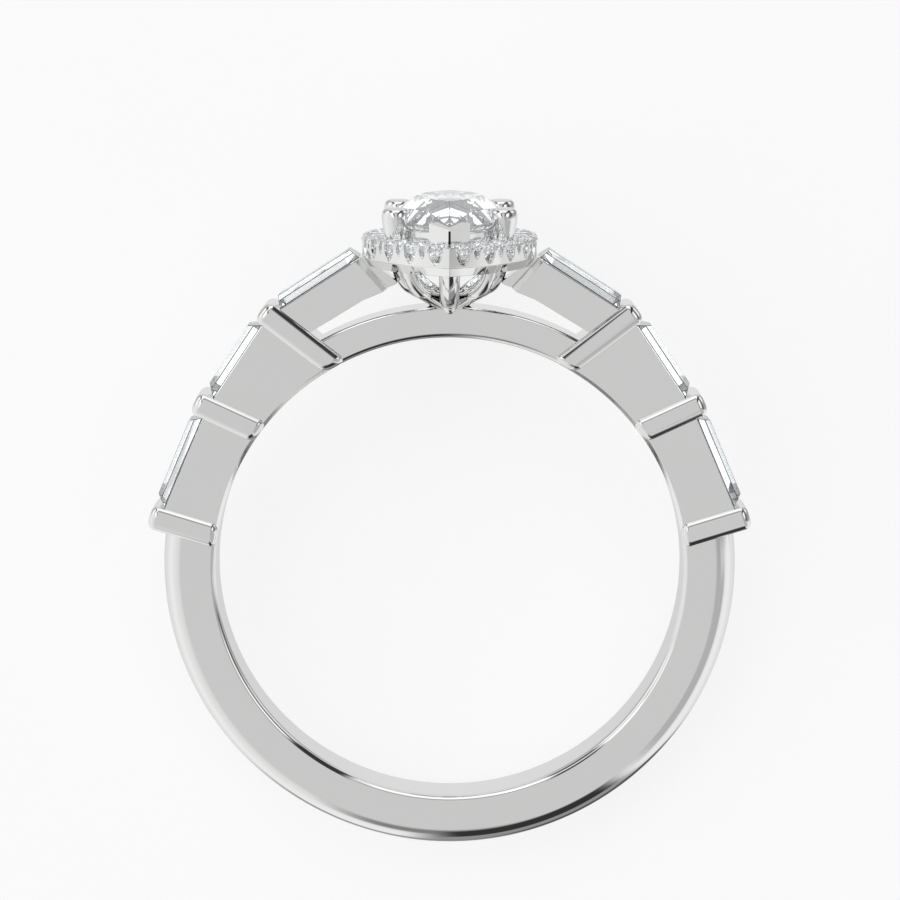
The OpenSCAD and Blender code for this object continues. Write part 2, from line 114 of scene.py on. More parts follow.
def plain_mesh(piece):
    """The piece with its modifiers made real."""
    depsgraph = bpy.context.evaluated_depsgraph_get()
    evaluated = piece.evaluated_get(depsgraph)
    mesh = bpy.data.meshes.new_from_object(evaluated, preserve_all_data_layers=True, depsgraph=depsgraph)
    piece.modifiers.clear()
    piece.data = mesh
    return piece


def stand_in(piece, node):
    """Puts the piece on the ring's one body, in place of the solid that it shows."""
    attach(piece, "root")
    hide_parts(node)


def settle(piece, material, edge=0.0, segments=3, angle=30):
    """Breaks the edges, keeps flat faces flat and lays the piece down as part of the ring's metal."""
    if edge:
        bevel = piece.modifiers.new("broken_edges", "BEVEL")
        bevel.width = edge
        bevel.segments = segments
        bevel.limit_method = "ANGLE"
        bevel.angle_limit = radians(angle)
        bevel.use_clamp_overlap = True
    even = piece.modifiers.new("flat_faces", "WEIGHTED_NORMAL")
    even.weight = 60
    plain_mesh(piece)
    piece.data.transform(LAY_DOWN)
    piece.data.materials.clear()
    piece.data.materials.append(material)
    stand_in(piece, "ring_mounting")


def fill(node, inputs):
    """Gives a node's inputs their values, or links them to outputs of other nodes."""
    for key, value in inputs.items():
        if isinstance(value, bpy.types.NodeSocket):
            node.id_data.links.new(value, node.inputs[key])
        else:
            node.inputs[key].default_value = value
    return node


def add_node(tree, kind, inputs=None, **settings):
    """A new node with its settings and its inputs."""
    node = tree.nodes.new(kind)
    for key, value in settings.items():
        setattr(node, key, value)
    return fill(node, inputs or {})


def node_group(name, kind, inputs, outputs):
    """A node group with its entry and exit. Inputs and outputs are names with a kind and a value."""
    tree = bpy.data.node_groups.new(name, kind)
    for way, sockets in (("INPUT", inputs), ("OUTPUT", outputs)):
        for label, (content, value) in sockets.items():
            socket = tree.interface.new_socket(name=label, in_out=way, socket_type="NodeSocket" + content)
            if value is not None:
                socket.default_value = value
    return tree, tree.nodes.new("NodeGroupInput"), tree.nodes.new("NodeGroupOutput")


def polish_group():
    """Fine buffing marks and soft handling smears, as a roughness and a height."""
    tree, entry, leave = node_group(
        "buffed_finish", "ShaderNodeTree",
        {"Roughness": ("Float", 0.08), "Smears": ("Float", 0.04), "Mark Size": ("Float", 6000.0)},
        {"Roughness": ("Float", None), "Height": ("Float", None)})
    place = add_node(tree, "ShaderNodeTexCoord").outputs["Object"]
    smear = add_node(tree, "ShaderNodeTexNoise", {"Vector": place, "Scale": 420.0, "Detail": 4.0})
    marks = add_node(tree, "ShaderNodeTexNoise",
                     {"Vector": place, "Scale": entry.outputs["Mark Size"], "Detail": 2.0})
    rough = add_node(tree, "ShaderNodeMath", {0: smear.outputs["Fac"], 1: entry.outputs["Smears"],
                                              2: entry.outputs["Roughness"]}, operation="MULTIPLY_ADD")
    fill(leave, {"Roughness": rough.outputs[0], "Height": marks.outputs["Fac"]})
    return tree


def cloud_group():
    """Two tones that drift into each other over the piece, as a colour."""
    tree, entry, leave = node_group(
        "tone_clouds", "ShaderNodeTree",
        {"Tone": ("Color", None), "Cloud": ("Color", None),
         "Scale": ("Float", 300.0), "Detail": ("Float", 2.0)},
        {"Color": ("Color", None)})
    place = add_node(tree, "ShaderNodeTexCoord").outputs["Object"]
    cloud = add_node(tree, "ShaderNodeTexNoise", {"Vector": place, "Scale": entry.outputs["Scale"],
                                                  "Detail": entry.outputs["Detail"]})
    mix = add_node(tree, "ShaderNodeMix", {"Factor": cloud.outputs["Fac"], "A": entry.outputs["Tone"],
                                           "B": entry.outputs["Cloud"]}, data_type="RGBA")
    fill(leave, {"Color": mix.outputs["Result"]})
    return tree


BUFFED = polish_group()
CLOUDS = cloud_group()


def new_material(name, tone, cloud, scale, detail):
    """A material with its node tree and its shader, in a tone with soft clouds in it."""
    material = bpy.data.materials.new(name)
    material.use_nodes = True
    tree = material.node_tree
    shader = tree.nodes["Principled BSDF"]
    clouds = add_node(tree, "ShaderNodeGroup", {"Tone": (*tone, 1.0), "Cloud": (*cloud, 1.0), "Scale": scale,
                                                "Detail": detail}, node_tree=CLOUDS)
    fill(shader, {"Base Color": clouds.outputs["Color"]})
    return material, tree, shader


def white_gold(name, roughness=0.03, smears=0.04, tone=GOLD_TONE):
    """White gold with faint handling smears, polished unless a roughness is given."""
    cloud = [GOLD_CLOUD * part for part in tone]
    material, tree, shader = new_material(name, tone, cloud, scale=260.0, detail=3.0)
    finish = add_node(tree, "ShaderNodeGroup", {"Roughness": roughness, "Smears": smears}, node_tree=BUFFED)
    bump = add_node(tree, "ShaderNodeBump", {"Height": finish.outputs["Height"], "Strength": MARK_STRENGTH,
                                             "Distance": MARK_DEPTH})
    fill(shader, {"Metallic": 1.0, "Roughness": finish.outputs["Roughness"],
                  "Normal": bump.outputs["Normal"]})
    return material


GOLD = white_gold("white_gold_polished")

inner_edge = [(FINGER_R + EDGE_R * (1 - cos(t)), BAND_HALF_W - EDGE_R * (1 - sin(t)))
              for t in angles(0, 90, EDGE_STEPS)]
flat_w = SIDE_R - FINGER_R - EDGE_R
side = [(FINGER_R + EDGE_R + flat_w * k / SIDE_STEPS, BAND_HALF_W) for k in range(1, SIDE_STEPS)]
crown = [(SIDE_R + (BAND_R - SIDE_R) * sin(t), BAND_HALF_W * cos(t)) for t in angles(0, 90, CROWN_STEPS)]
half_section = inner_edge + side + crown
band_section = half_section + [(r, -y) for r, y in half_section[-2::-1]]
settle(round_finger("band", band_section, BAND_FROM, BAND_TO, BAND_STEPS), GOLD)

# Bridge: the thin flat strip that closes the finger hole under the head. It is
# one with the band, and the head is soldered on top of it.
BRIDGE_R = 9.33
BRIDGE_FROM, BRIDGE_TO = 59.5, 120.5
BRIDGE_STEPS = 70
BRIDGE_EDGE_R = 0.1


def rounded(corners, radii, steps=5):
    """A closed outline with each corner rounded by its own radius."""
    out = []
    n = len(corners)
    for i, (corner, r) in enumerate(zip(corners, radii)):
        p = Vector(corner)
        to_last = (Vector(corners[i - 1]) - p).normalized()
        to_next = (Vector(corners[(i + 1) % n]) - p).normalized()
        half = to_last.angle(to_next) / 2
        if r <= 0 or half > radians(88):
            out.append(tuple(p))
            continue
        cut = r / tan(half)
        mid = p + (to_last + to_next).normalized() * (r / sin(half))
        start, end = p + to_last * cut - mid, p + to_next * cut - mid
        for k in range(steps + 1):
            out.append(tuple(mid + start.slerp(end, k / steps) * r))
    return out


bridge_corners = [(FINGER_R, -BAND_HALF_W), (BRIDGE_R, -BAND_HALF_W), (BRIDGE_R, BAND_HALF_W),
                  (FINGER_R, BAND_HALF_W)]
bridge_section = rounded(bridge_corners, [EDGE_R, BRIDGE_EDGE_R, BRIDGE_EDGE_R, EDGE_R])
settle(round_finger("bridge", bridge_section, BRIDGE_FROM, BRIDGE_TO, BRIDGE_STEPS), GOLD)

# Cross bars: three on each shoulder, soft-edged bars of white gold that stand
# proud of the band and hold the ends of the side stones between them.
BAR_T = 0.84
BAR_HALF_W = 1.12
# How much the bar's two faces are crowned, and how square the crown is
BAR_DEEP = 0.19
BAR_SOFT = 2.5
BAR_STEPS = 11
# The inner end: rounding at the finger hole, and the rings that close it
BAR_INNER_R = 0.3
BAR_INNER_STEPS = 6
BAR_CAP = (0.38, 0.34)
# The outer end: rounding, and the turns at which its rings stand
BAR_END_R = 0.27
BAR_END_TURNS = (0, 15, 30, 45, 60, 75, 88)
# Slope in degrees, distance of its middle line from the ring's middle, reach
BARS = [(17.2, -1.26, 10.66), (25, 1.66, 10.62), (37.5, 3.33, 10.81)]
# Ways in which pieces are mirrored
LEFT_RIGHT = Vector((1, 0, 0))
NEAR_FAR = Vector((0, 1, 0))


def join(name, parts):
    """One object from several, whose meshes stay as they are."""
    bm = bmesh.new()
    for part in parts:
        bm.from_mesh(part.data)
        bpy.data.objects.remove(part)
    mesh = bpy.data.meshes.new(name)
    bm.to_mesh(mesh)
    bm.free()
    return put_in_scene(name, mesh)


def mirrored(part, *axes):
    """The part with its mirror images across the middle planes of the given axes."""
    parts = [part]
    for axis in axes:
        for original in list(parts):
            twin = put_in_scene(original.name, original.data.copy())
            twin.data.transform(Matrix.Scale(-1, 4, axis))
            twin.data.flip_normals()
            parts.append(twin)
    return join(part.name, parts)


def on_bar(bar, out, up=0.0):
    """A point on a bar of the left shoulder, out along it and up across it, in X and Z."""
    slope, offset = radians(bar[0]), bar[1]
    height = offset + up
    return (height * sin(slope) - out * cos(slope), height * cos(slope) + out * sin(slope))


def in_place(flat, y):
    """A point from its X and Z and its place along the finger."""
    return (flat[0], y, flat[1])


def bar_section(draw):
    """The section of a bar, across and up, full and soft at its two faces and drawn in by draw."""
    quarter = []
    for t in angles(0, 90, BAR_STEPS):
        crown_w, crown_t = cos(t) ** (2 / BAR_SOFT), sin(t) ** (2 / BAR_SOFT)
        quarter.append((BAR_HALF_W - draw - BAR_DEEP * (1 - crown_w), (BAR_T / 2 - draw) * crown_t))
    upper = quarter + [(-y, up) for y, up in quarter[::-1]]
    return upper + [(-y, -up) for y, up in quarter[1:]] + [(y, -up) for y, up in quarter[-1:0:-1]]


def bar_shape(bar):
    """A bar as rings of its section along it, drawn in at both ends, the inner one cut round the finger."""
    offset, reach = bar[1:]
    rings = []
    inner_end = [(FINGER_R, draw) for draw in BAR_CAP]
    for t in angles(0, 90, BAR_INNER_STEPS):
        inner_end.append((FINGER_R + BAR_INNER_R * (1 - cos(t)), BAR_INNER_R * (1 - sin(t))))
    for r, draw in inner_end:
        rings.append([(sqrt(r * r - (offset + up) ** 2), y, up) for y, up in bar_section(draw)])
    for turn in BAR_END_TURNS:
        out = reach - BAR_END_R * (1 - sin(radians(turn)))
        draw = BAR_END_R * (1 - cos(radians(turn)))
        rings.append([(out, y, up) for y, up in bar_section(draw)])
    return loft("bar", [[in_place(on_bar(bar, out, up), y) for out, y, up in ring] for ring in rings])


settle(mirrored(join("cross_bars", [bar_shape(bar) for bar in BARS]), LEFT_RIGHT), GOLD)

# Shoulder walls: flat-sided blocks under the side stones, from bar to bar, the
# uppermost reaching up under the halo. A trough in the top seats each stone.
SEAT_GAP = 0.025
STONE_W = 1.6
STONE_DEPTH = 0.62
# The trough: width of its floor as a share, and where its sides start to slope
TROUGH_FLOOR = 0.45
TROUGH_SIDE = 0.12
TROUGH_OPEN = 1
# Broken edges of the walls, and the wider ones along the finger hole
WALL_EDGE = 0.05
WALL_LOW_EDGE = 0.13
FLARE = 1
HOLE_STEPS = 240
# How far the walls run into the bars, along a stone's line and down the bar
WALL_OVERLAP = 0.3
WALL_FOOT = 7.2
WALL_END_FOOT = 1.5
# The line on which a stone meets its wall: start X and Z, slope, from, length
STONE_LINES = [((-9.98, 2.27), 66.9, -0.03, 3.42), ((-8.2, 6.17), 56.2, -0.06, 3.06),
               ((-5.91, 9.23), 32.9, 0.03, 3.28)]
# The uppermost wall: corners of its end, the end's direction, how far it is set
# back, the depth of the strip along it, and its lower edge
WALL_END_TOP = (-3.12, 11.04)
WALL_END_LOW = (-2.17, 9.98)
WALL_END_WAY = 40
WALL_END_BACK = 0.185
WALL_END_CUT = 0.055
WALL_END_R = 0.04
WALL_UNDER = [(-4.9, 8.42), (-4, 8.97), (-3, 9.58)]
# Thinner plates between the wall's end, the halo and the basket
END_PLATE = [(-3, 10.7), (-2.6, 10.77), (-1.87, 10.22), (-1.83, 10.12), (-2.27, 9.94), (-3, 9.6)]
END_PLATE_HALF_W = 0.62
HALO_SEAT = [(-3.5, 10.7), WALL_END_TOP, (-2.75, 11.03), (-2.75, 10.78), (-2.95, 10.6)]
HALO_SEAT_HALF_W = 0.6


def on_line(line, along, up=0.0):
    """A point on a stone's line, in X and Z."""
    (x, z), slope = line[0], radians(line[1])
    return (x + along * cos(slope) - up * sin(slope), z + along * sin(slope) + up * cos(slope))


def slab(name, outline, half_w, short=None, cut=0.0):
    """An outline in X and Z made a block along the finger. short is its outline at the two sides,
    over a depth of cut."""
    sides = short or outline
    inner = [(y, outline) for y in (cut - half_w, half_w - cut) if cut]
    layers = [(-half_w, sides)] + inner + [(half_w, sides)]
    return loft(name, [[in_place(corner, y) for corner in line] for y, line in layers])


def cut_away(piece, cutter):
    """Takes the cutter's space out of the piece."""
    cut = piece.modifiers.new("cut", "BOOLEAN")
    cut.operation = "DIFFERENCE"
    cut.solver = "EXACT"
    cut.object = cutter
    plain_mesh(piece)
    bpy.data.objects.remove(cutter)


def trough(line):
    """The space of a side stone in the top of its wall."""
    half = STONE_W / 2 + SEAT_GAP
    floor_half = half * TROUGH_FLOOR
    below = -STONE_DEPTH - SEAT_GAP
    section = [(-floor_half, below), (floor_half, below), (half, -TROUGH_SIDE), (half, TROUGH_OPEN),
               (-half, TROUGH_OPEN), (-half, -TROUGH_SIDE)]
    rings = []
    for along in (line[2] - SEAT_GAP, line[2] + line[3] + SEAT_GAP):
        rings.append([in_place(on_line(line, along, up), y) for y, up in section])
    return loft("trough", rings)


def finger_tube():
    """The finger hole's space through the walls, flared at their sides to break their edges."""
    edge, outside = BAND_HALF_W - WALL_LOW_EDGE, BAND_HALF_W + FLARE
    far_half = [(edge, FINGER_R), (outside, FINGER_R + WALL_LOW_EDGE + FLARE)]
    layers = [(-y, r) for y, r in far_half[::-1]] + far_half
    around = angles(0, 360, HOLE_STEPS)[:-1]
    return loft("finger_tube", [[(r * cos(a), y, r * sin(a)) for a in around] for y, r in layers])


def end_side(back):
    """The two corners of the uppermost wall's end, set back by an amount."""
    shift_x, shift_z = back * cos(radians(WALL_END_WAY)), back * sin(radians(WALL_END_WAY))
    return [(x - shift_x, z - shift_z) for x, z in (WALL_END_TOP, WALL_END_LOW)]


def end_wall(line):
    """The outline of the uppermost wall, its end set back a little."""
    top, low = end_side(WALL_END_BACK)
    corner = rounded([top, low, WALL_UNDER[-1]], [0, WALL_END_R, 0])[1:-1]
    start = [on_line(line, -WALL_OVERLAP), top]
    return start + corner + WALL_UNDER[::-1] + [on_line(line, -WALL_OVERLAP, -WALL_END_FOOT)]


walls = []
for line, bar, next_bar in zip(STONE_LINES, BARS, BARS[1:]):
    start, end = line[2] - WALL_OVERLAP, line[2] + line[3] + WALL_OVERLAP
    outline = [on_line(line, start), on_line(line, end), on_bar(next_bar, WALL_FOOT), on_bar(bar, WALL_FOOT)]
    wall = slab("wall", outline, BAND_HALF_W)
    cut_away(wall, trough(line))
    cut_away(wall, finger_tube())
    walls.append(wall)
top_wall = slab("wall", end_wall(STONE_LINES[-1]), BAND_HALF_W)
cut_away(top_wall, trough(STONE_LINES[-1]))
walls.append(top_wall)
walls.append(slab("end_plate", END_PLATE, END_PLATE_HALF_W))
walls.append(slab("halo_seat", HALO_SEAT, HALO_SEAT_HALF_W))
settle(mirrored(join("shoulder_walls", walls), LEFT_RIGHT), GOLD, edge=WALL_EDGE, segments=3, angle=25)

# End strips: the slanted strip along the end of each uppermost wall, filed and
# left softer than the polished walls beside it. Its lighter tone is painted light.
STRIP_OVERLAP = 0.03
STRIP_EDGE = 0.02
# Painted light: the strip's gold is a lighter tone than the polished gold's, to brighten it
SATIN_GOLD_PAINTED_LIGHTER = white_gold("white_gold_satin_painted_lighter", roughness=0.12, smears=0.06, tone=(0.99, 0.99, 0.985))


def strip_outline(back):
    """The outline of the strip, its outer side set back by an amount."""
    return end_side(WALL_END_BACK + STRIP_OVERLAP) + end_side(back)[::-1]


strip = slab("end_lips", strip_outline(0), BAND_HALF_W, strip_outline(WALL_END_BACK), WALL_END_CUT)
settle(mirrored(strip, LEFT_RIGHT), SATIN_GOLD_PAINTED_LIGHTER, edge=STRIP_EDGE, segments=2, angle=25)

# Halo: a pointed-oval tray of white gold with a bevel round its foot. Its wall
# is cut in a row of shields under the small stones, leaving paired prongs.
HALO_HALF_L = 5.2
HALO_HALF_W = 3.05
HALO_FOOT = 10.78
HALO_WALL = 11.08
HALO_TOP = 11.79
STONE_R = 0.44
PER_SIDE = 11
# The line of the stones' middles lies this far inside the halo's outline
STONE_INSET = 0.54
# The tray: width of the foot's bevel, floor, thickness and drop of its inner
# wall, steps in from the outline and down from the cut wall, and broken edge
FOOT_BEVEL = 0.2
TRAY_FLOOR = 11.24
TRAY_WALL = 0.09
TRAY_DROP = 0.1
TRAY_STEP = 0.03
TRAY_LIP = 0.005
TRAY_EDGE = 0.02
# The cut wall: thickness, soft edge, drop at its two ends, steps in its bend
WALL_T = 0.14
WALL_SOFT = 0.045
COMB_DROP = 0.05
COMB_STEPS = 96
# A shield under a stone and one between two stones: half width, height, tip
STONE_SHIELD = (0.285, 0.5, HALO_WALL + 0.07)
GAP_SHIELD = (0.13, 0.3, HALO_TOP - 0.44)
# How a shield's points crowd at its tip, how full its sides are, and where it
# ends below the top of the wall
SHIELD_CROWD = 1.6
SHIELD_FULL = 0.62
SHIELD_END = 0.02


def oval(half_l, half_w):
    """Radius of the arcs of a pointed oval, and how far their middles lie from its long axis."""
    r = (half_l ** 2 + half_w ** 2) / (2 * half_w)
    return r, r - half_w


HALO_R, HALO_C = oval(HALO_HALF_L, HALO_HALF_W)
LINE_R = HALO_R - STONE_INSET
# Turn of the last stone in from the tips, and of its shield in the wall
TIP_GAP = 0.05
LAST_STONE = acos((STONE_R + TIP_GAP + HALO_C) / LINE_R)
LAST_SHIELD = radians(55.5)


def oval_row(r, mid_x, z, steps=40):
    """Points of a pointed oval of two arcs of radius r, whose middles lie mid_x from its long axis."""
    end = acos(min(1, mid_x / r))
    places = [(side, end * (-1 + 2 * k / steps)) for side in (1, -1) for k in range(steps)]
    return [(side * (r * cos(a) - mid_x), side * r * sin(a), z) for side, a in places]


def oval_ring(name, section, mid_x, steps=40):
    """A section of radius and height carried round a pointed oval, mitred at its tips."""
    rows = [oval_row(r, mid_x, z, steps) for r, z in section]
    return loft(name, list(zip(*rows)), closed=True)


seat_r = LINE_R - STONE_R
inner_r = seat_r - TRAY_WALL
tray_section = [
    (inner_r, HALO_FOOT), (HALO_R - FOOT_BEVEL, HALO_FOOT), (HALO_R, HALO_WALL - TRAY_LIP),
    (HALO_R - TRAY_STEP, HALO_WALL), (HALO_R - 2 * TRAY_STEP, TRAY_FLOOR), (seat_r, TRAY_FLOOR),
    (seat_r, HALO_TOP - TRAY_DROP), (inner_r, HALO_TOP - TRAY_DROP)
]
settle(oval_ring("halo_tray", tray_section, HALO_C), GOLD, edge=TRAY_EDGE, segments=2, angle=20)


def halo_turn(i, limit):
    """Turn of stone i of one side, from the near tip to the far one."""
    return -limit + 2 * limit * i / (PER_SIDE - 1)


def shield_outline(u, half_w, height, tip, steps=9):
    """A shield cut as a line of points, down from the top of the wall and up again."""
    top = min(height, HALO_TOP - tip - SHIELD_END)
    rises = [top * (k / steps) ** SHIELD_CROWD for k in range(steps + 1)]
    left = [(-half_w * (1 - (1 - min(1, rise / height)) ** 2) ** SHIELD_FULL, rise) for rise in rises]
    return [(u + x, tip + rise) for x, rise in left[::-1]] + [(u - x, tip + rise) for x, rise in left[1:]]


def halo_comb():
    """One side's wall, drawn flat with its cuts, thickened, softened and bent to the oval."""
    end = acos(HALO_C / HALO_R) * HALO_R
    cuts = []
    for i in range(PER_SIDE):
        cuts.append((halo_turn(i, LAST_SHIELD) * HALO_R, *STONE_SHIELD))
        if i < PER_SIDE - 1:
            cuts.append((halo_turn(i + 0.5, LAST_SHIELD) * HALO_R, *GAP_SHIELD))
    outline = [(-end, HALO_TOP - COMB_DROP)]
    for cut in cuts:
        points = shield_outline(*cut)
        outline += [(points[0][0], HALO_TOP)] + points + [(points[-1][0], HALO_TOP)]
    outline += [(end, HALO_TOP - COMB_DROP), (end, HALO_WALL), (-end, HALO_WALL)]
    comb = loft("halo_comb", [[(u, depth, z) for u, z in outline] for depth in (0, WALL_T)])
    soft = comb.modifiers.new("soft", "BEVEL")
    soft.width = WALL_SOFT
    soft.segments = 4
    soft.limit_method = "ANGLE"
    soft.angle_limit = radians(35)
    plain_mesh(comb)
    bm = bmesh.new()
    bm.from_mesh(comb.data)
    for k in range(1, COMB_STEPS):
        everything = bm.verts[:] + bm.edges[:] + bm.faces[:]
        plane = (-end + 2 * end * k / COMB_STEPS, 0, 0)
        bmesh.ops.bisect_plane(bm, geom=everything, plane_co=plane, plane_no=(1, 0, 0))
    for v in bm.verts:
        u, depth, z = v.co
        a = u / HALO_R
        v.co = ((HALO_R - depth) * cos(a) - HALO_C, (HALO_R - depth) * sin(a), z)
    face_outwards(bm, comb.data)
    return comb


settle(mirrored(halo_comb(), LEFT_RIGHT), GOLD)

# Beads: the prongs between the small stones end in tiny balls that are pushed
# over the stones, two outside and one inside at each gap.
OUTER_BEAD = {"Bead Radius": 0.1, "Tallness": 1.5}
INNER_BEAD = {"Bead Radius": 0.12, "Tallness": 1.1}
# An outer bead's place beside the gap, in from the outline and below the top
BEAD_ASIDE = 0.2
BEAD_IN = 0.08
BEAD_DOWN = 0.1
# What it leans over: a place on the stone's rim, and how steeply it stands
BEAD_AIM = 0.4
BEAD_BEND = 0.5
BEAD_RISE = 0.42
# The inner beads, and the one at each tip
INNER_BEAD_IN, INNER_BEAD_DOWN = 0.4, 0.05
TIP_BEAD_X, TIP_BEAD_IN, TIP_BEAD_DOWN, TIP_BEAD_LEAN = 0.12, 0.2, 0.08, 0.3


def grow(piece, group, values):
    """The piece as a node group makes it, with the group's inputs set, as a plain mesh."""
    modifier = piece.modifiers.new(group.name, "NODES")
    modifier.node_group = group
    for socket in group.interface.items_tree:
        if socket.name in values:
            modifier[socket.identifier] = values[socket.name]
    return plain_mesh(piece)


def in_gold(tree, geometry):
    """Makes instances real, smooth and white gold."""
    real = add_node(tree, "GeometryNodeRealizeInstances", {"Geometry": geometry})
    smooth = add_node(tree, "GeometryNodeSetShadeSmooth", {"Geometry": real.outputs[0]})
    metal = add_node(tree, "GeometryNodeSetMaterial", {"Geometry": smooth.outputs[0], "Material": GOLD})
    return metal.outputs[0]


def beads_on_points():
    """Sets a small round head on each point of a mesh, leaning the way that the point says."""
    tree, entry, leave = node_group(
        "claw_beads", "GeometryNodeTree",
        {"Geometry": ("Geometry", None), "Bead Radius": ("Float", 0.11), "Tallness": ("Float", 1.5)},
        {"Geometry": ("Geometry", None)})
    ball = add_node(tree, "GeometryNodeMeshUVSphere",
                    {"Segments": 14, "Rings": 10, "Radius": entry.outputs["Bead Radius"]})
    size = add_node(tree, "ShaderNodeCombineXYZ", {"X": 1.0, "Y": 1.0, "Z": entry.outputs["Tallness"]})
    lean = add_node(tree, "GeometryNodeInputNamedAttribute", {"Name": "lean"}, data_type="FLOAT_VECTOR")
    turn = add_node(tree, "FunctionNodeAlignRotationToVector", {"Vector": lean.outputs["Attribute"]},
                    axis="Z")
    placed = add_node(tree, "GeometryNodeInstanceOnPoints", {
        "Points": entry.outputs["Geometry"], "Instance": ball.outputs["Mesh"],
        "Rotation": turn.outputs[0], "Scale": size.outputs[0]})
    fill(leave, {"Geometry": in_gold(tree, placed.outputs[0])})
    return tree


CLAW_BEADS = beads_on_points()


def bead_row(name, places, size):
    """Beads of one size at the given places, each a point and the way it leans."""
    mesh = bpy.data.meshes.new(name)
    mesh.from_pydata([point for point, lean in places], [], [])
    leans = mesh.attributes.new("lean", "FLOAT_VECTOR", "POINT")
    for value, (point, lean) in zip(leans.data, places):
        value.vector = lean
    return mirrored(grow(put_in_scene(name, mesh), CLAW_BEADS, size), LEFT_RIGHT)


def on_halo(turn, r, z):
    """A point over the right side of the halo."""
    return Vector((r * cos(turn) - HALO_C, r * sin(turn), z))


outer_beads, inner_beads = [], []
for i in range(PER_SIDE - 1):
    gap_in_wall = halo_turn(i + 0.5, LAST_SHIELD)
    gap_in_row = halo_turn(i + 0.5, LAST_STONE)
    for side in (-1, 1):
        bead = on_halo(gap_in_wall + side * BEAD_ASIDE / HALO_R, HALO_R - BEAD_IN, HALO_TOP - BEAD_DOWN)
        aim = on_halo(gap_in_row + side * BEAD_AIM / LINE_R, LINE_R, HALO_TOP) - bead
        outer_beads.append((bead, Vector((aim.x * BEAD_BEND, aim.y * BEAD_BEND, BEAD_RISE))))
    inner_bead = on_halo(gap_in_row, LINE_R - INNER_BEAD_IN, HALO_TOP - INNER_BEAD_DOWN)
    inner_beads.append((inner_bead, Vector((0, 0, 1))))
for side in (-1, 1):
    tip_bead = Vector((TIP_BEAD_X, side * (HALO_HALF_L - TIP_BEAD_IN), HALO_TOP - TIP_BEAD_DOWN))
    outer_beads.append((tip_bead, Vector((0, -side * TIP_BEAD_LEAN, 1))))
settle(bead_row("halo_beads", outer_beads, OUTER_BEAD), GOLD)
settle(bead_row("halo_inner_beads", inner_beads, INNER_BEAD), GOLD)

# Basket: the wires and legs that carry the centre stone, bent in from the
# prongs and the halo and soldered together on top of the bridge.
PRONG_WIRE_R = 0.25
SIDE_WIRE_R = 0.225
# A wire from the top down: its first points, then a bend, then its last point.
# The bend has a start, a radius, the bearing it turns to and how far it turns.
PRONG_WIRE_TOP = [(1.72, 1.95, 12.25), (1.5, 1.78, 11.75), (1.4, 1.7, 11.45)]
PRONG_WIRE_BEND = ((1.4, 1.7, 10.85), 1.1, 213, 57)
PRONG_WIRE_FOOT = (0.16, 0.75, 9.4)
SIDE_WIRE_TOP = [(1.8, 0, 11.3)]
SIDE_WIRE_BEND = ((1.8, 0, 10.75), 1.0, 180, 52)
SIDE_WIRE_FOOT = (0.3, 0, 9.35)
# The legs under the two end prongs, each one arc with a drop of solder below
LEG_R, LEG_END_R = 0.36, 0.362
LEG_MID_Y, LEG_MID_Z = 0.7, 12.2
LEG_BEND_R, LEG_TURN, LEG_STEPS = 2.59, 78, 24
SOLDER_AT, SOLDER_R = (0, 0.85, 9.31), 0.24
DROP_AROUND, DROP_STEPS = 24, 14
FOOT_R = 0.55
FOOT_LOW, FOOT_TOP = 9.0, 9.45
FOOT_EDGE, FOOT_AROUND = 0.08, 40


def wire_tree():
    """Sweeps a round section along the line of a mesh."""
    tree, entry, leave = node_group(
        "basket_wire", "GeometryNodeTree",
        {"Geometry": ("Geometry", None), "Wire Radius": ("Float", 0.25)}, {"Geometry": ("Geometry", None)})
    line = add_node(tree, "GeometryNodeMeshToCurve", {"Mesh": entry.outputs["Geometry"]})
    section = add_node(tree, "GeometryNodeCurvePrimitiveCircle",
                       {"Resolution": 28, "Radius": entry.outputs["Wire Radius"]})
    tube = add_node(tree, "GeometryNodeCurveToMesh", {
        "Curve": line.outputs[0], "Profile Curve": section.outputs["Curve"], "Fill Caps": True})
    fill(leave, {"Geometry": in_gold(tree, tube.outputs[0])})
    return tree


WIRE_TREE = wire_tree()


def wire(name, points, radius):
    """A round wire along a line of points."""
    mesh = bpy.data.meshes.new(name)
    mesh.from_pydata(points, [(i, i + 1) for i in range(len(points) - 1)], [])
    return grow(put_in_scene(name, mesh), WIRE_TREE, {"Wire Radius": radius})


def bend(start, r, toward, turn, steps=18):
    """Points of a line that leaves start straight down and turns towards a bearing."""
    x, y, z = start
    t = radians(toward)
    return [(x + r * (1 - cos(a)) * cos(t), y + r * (1 - cos(a)) * sin(t), z - r * sin(a))
            for a in angles(0, turn, steps)]


def circle(x, y, z, r, around):
    """Points of a level circle."""
    return [(x + r * cos(a), y + r * sin(a), z) for a in angles(0, 360, around)[:-1]]


def ball(mid, r):
    """A round drop of metal."""
    x, y, z = mid
    return loft("ball", [circle(x, y, z + r * cos(a), r * sin(a), DROP_AROUND)
                         for a in angles(0, 180, DROP_STEPS)[1:-1]])


prong_line = PRONG_WIRE_TOP + bend(*PRONG_WIRE_BEND) + [PRONG_WIRE_FOOT]
side_line = SIDE_WIRE_TOP + bend(*SIDE_WIRE_BEND) + [SIDE_WIRE_FOOT]
leg_line = [(0, LEG_MID_Y + LEG_BEND_R * cos(a), LEG_MID_Z - LEG_BEND_R * sin(a))
            for a in angles(0, LEG_TURN, LEG_STEPS)]
settle(mirrored(wire("prong_wires", prong_line, PRONG_WIRE_R), LEFT_RIGHT, NEAR_FAR), GOLD)
settle(mirrored(wire("side_wires", side_line, SIDE_WIRE_R), LEFT_RIGHT), GOLD)
leg_parts = [wire("leg", leg_line, LEG_R), ball(leg_line[-1], LEG_END_R), ball(SOLDER_AT, SOLDER_R)]
settle(mirrored(join("end_legs", leg_parts), NEAR_FAR), GOLD)
foot = loft("basket_foot", [circle(0, 0, z, FOOT_R, FOOT_AROUND) for z in (FOOT_LOW, FOOT_TOP)])
settle(foot, GOLD, edge=FOOT_EDGE)

